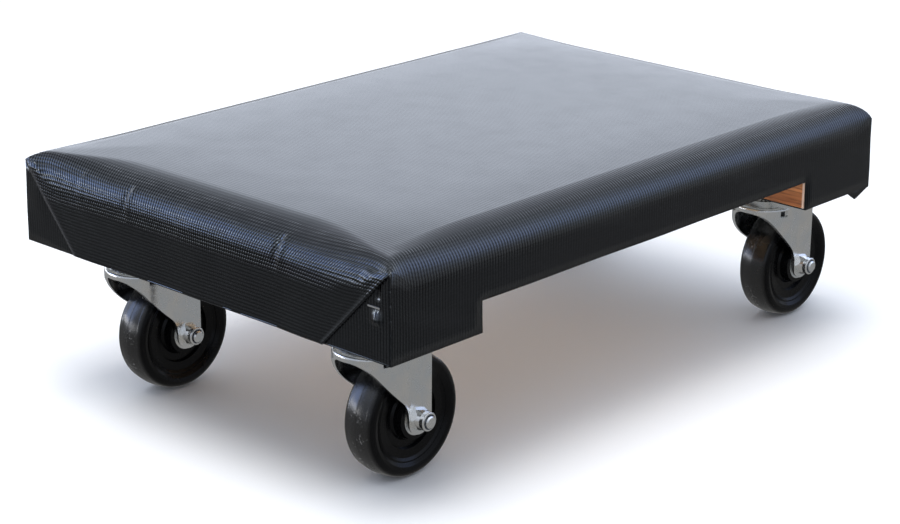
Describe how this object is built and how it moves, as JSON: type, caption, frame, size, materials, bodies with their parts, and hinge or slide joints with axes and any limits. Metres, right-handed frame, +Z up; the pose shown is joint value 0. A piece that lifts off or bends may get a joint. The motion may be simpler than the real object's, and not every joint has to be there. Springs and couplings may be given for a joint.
{
  "type": "mechanics creeper",
  "caption": "Low padded rolling platform: a deck on end boards, under a wrapped black ribbed vinyl pad, on swivel casters with hard rubber wheels.",
  "frame": {"origin": "on the floor, under the middle of the whole object's box; the deck's middle is 16.6 mm towards -Y of it, because the rear wheels trail past the deck's end", "axes": "+Z up, +Y along the deck's length towards the end that the casters trail to, +X across the deck"},
  "size_m": [0.416, 0.6494, 0.2125],
  "materials": {
    "ribbed_vinyl": "satin black ribbed vinyl-coated fabric",
    "foam": "matte open-cell foam",
    "plywood": "matte sanded plywood",
    "hardwood": "matte sawn reddish hardwood",
    "zinc_steel": "satin bright zinc plate",
    "bearing_steel": "polished",
    "staple_wire": "satin galvanised wire",
    "hard_rubber": "satin moulded hard rubber"
  },
  "bodies": {
    "root": {"deck_panel": "plywood", "end_board_front": "hardwood", "end_board_rear": "hardwood", "foam_pad": "foam", "vinyl_cover": "ribbed_vinyl", "cover_staples": "staple_wire", "board_screws": "zinc_steel", "caster_bolts": "zinc_steel", "caster_bolt_washers": "zinc_steel", "caster_tee_nuts": "zinc_steel", "front_left_top_plate": "zinc_steel", "front_left_kingpin": "zinc_steel", "front_left_lower_race": "zinc_steel", "front_right_top_plate": "zinc_steel", "front_right_kingpin": "zinc_steel", "front_right_lower_race": "zinc_steel", "rear_left_top_plate": "zinc_steel", "rear_left_kingpin": "zinc_steel", "rear_left_lower_race": "zinc_steel", "rear_right_top_plate": "zinc_steel", "rear_right_kingpin": "zinc_steel", "rear_right_lower_race": "zinc_steel"},
    "front_left_swivel": {"front_left_fork": "zinc_steel", "front_left_upper_balls": "bearing_steel", "front_left_lower_balls": "bearing_steel", "front_left_axle_bolt": "zinc_steel", "front_left_axle_nut": "zinc_steel", "front_left_axle_sleeve": "zinc_steel", "front_left_hub_washers": "zinc_steel"},
    "front_left_wheel_set": {"front_left_wheel": "hard_rubber", "front_left_rollers": "bearing_steel"},
    "front_right_swivel": {"front_right_fork": "zinc_steel", "front_right_upper_balls": "bearing_steel", "front_right_lower_balls": "bearing_steel", "front_right_axle_bolt": "zinc_steel", "front_right_axle_nut": "zinc_steel", "front_right_axle_sleeve": "zinc_steel", "front_right_hub_washers": "zinc_steel"},
    "front_right_wheel_set": {"front_right_wheel": "hard_rubber", "front_right_rollers": "bearing_steel"},
    "rear_left_swivel": {"rear_left_fork": "zinc_steel", "rear_left_upper_balls": "bearing_steel", "rear_left_lower_balls": "bearing_steel", "rear_left_axle_bolt": "zinc_steel", "rear_left_axle_nut": "zinc_steel", "rear_left_axle_sleeve": "zinc_steel", "rear_left_hub_washers": "zinc_steel"},
    "rear_left_wheel_set": {"rear_left_wheel": "hard_rubber", "rear_left_rollers": "bearing_steel"},
    "rear_right_swivel": {"rear_right_fork": "zinc_steel", "rear_right_upper_balls": "bearing_steel", "rear_right_lower_balls": "bearing_steel", "rear_right_axle_bolt": "zinc_steel", "rear_right_axle_nut": "zinc_steel", "rear_right_axle_sleeve": "zinc_steel", "rear_right_hub_washers": "zinc_steel"},
    "rear_right_wheel_set": {"rear_right_wheel": "hard_rubber", "rear_right_rollers": "bearing_steel"}
  },
  "joints": [
    {"name": "front_left_swivel_turn", "type": "hinge", "parent": "root", "child": "front_left_swivel", "pos_m": [-0.1335, -0.2711, 0.12], "axis": [0, 0, 1], "continuous": true},
    {"name": "front_left_wheel_spin", "type": "hinge", "parent": "front_left_swivel", "child": "front_left_wheel_set", "pos_m": [-0.1335, -0.2351, 0.0508], "axis": [1, 0, 0], "continuous": true},
    {"name": "front_right_swivel_turn", "type": "hinge", "parent": "root", "child": "front_right_swivel", "pos_m": [0.1335, -0.2711, 0.12], "axis": [0, 0, 1], "continuous": true},
    {"name": "front_right_wheel_spin", "type": "hinge", "parent": "front_right_swivel", "child": "front_right_wheel_set", "pos_m": [0.1335, -0.2351, 0.0508], "axis": [1, 0, 0], "continuous": true},
    {"name": "rear_left_swivel_turn", "type": "hinge", "parent": "root", "child": "rear_left_swivel", "pos_m": [-0.1335, 0.2379, 0.12], "axis": [0, 0, 1], "continuous": true},
    {"name": "rear_left_wheel_spin", "type": "hinge", "parent": "rear_left_swivel", "child": "rear_left_wheel_set", "pos_m": [-0.1335, 0.2739, 0.0508], "axis": [1, 0, 0], "continuous": true},
    {"name": "rear_right_swivel_turn", "type": "hinge", "parent": "root", "child": "rear_right_swivel", "pos_m": [0.1335, 0.2379, 0.12], "axis": [0, 0, 1], "continuous": true},
    {"name": "rear_right_wheel_spin", "type": "hinge", "parent": "rear_right_swivel", "child": "rear_right_wheel_set", "pos_m": [0.1335, 0.2739, 0.0508], "axis": [1, 0, 0], "continuous": true}
  ]
}
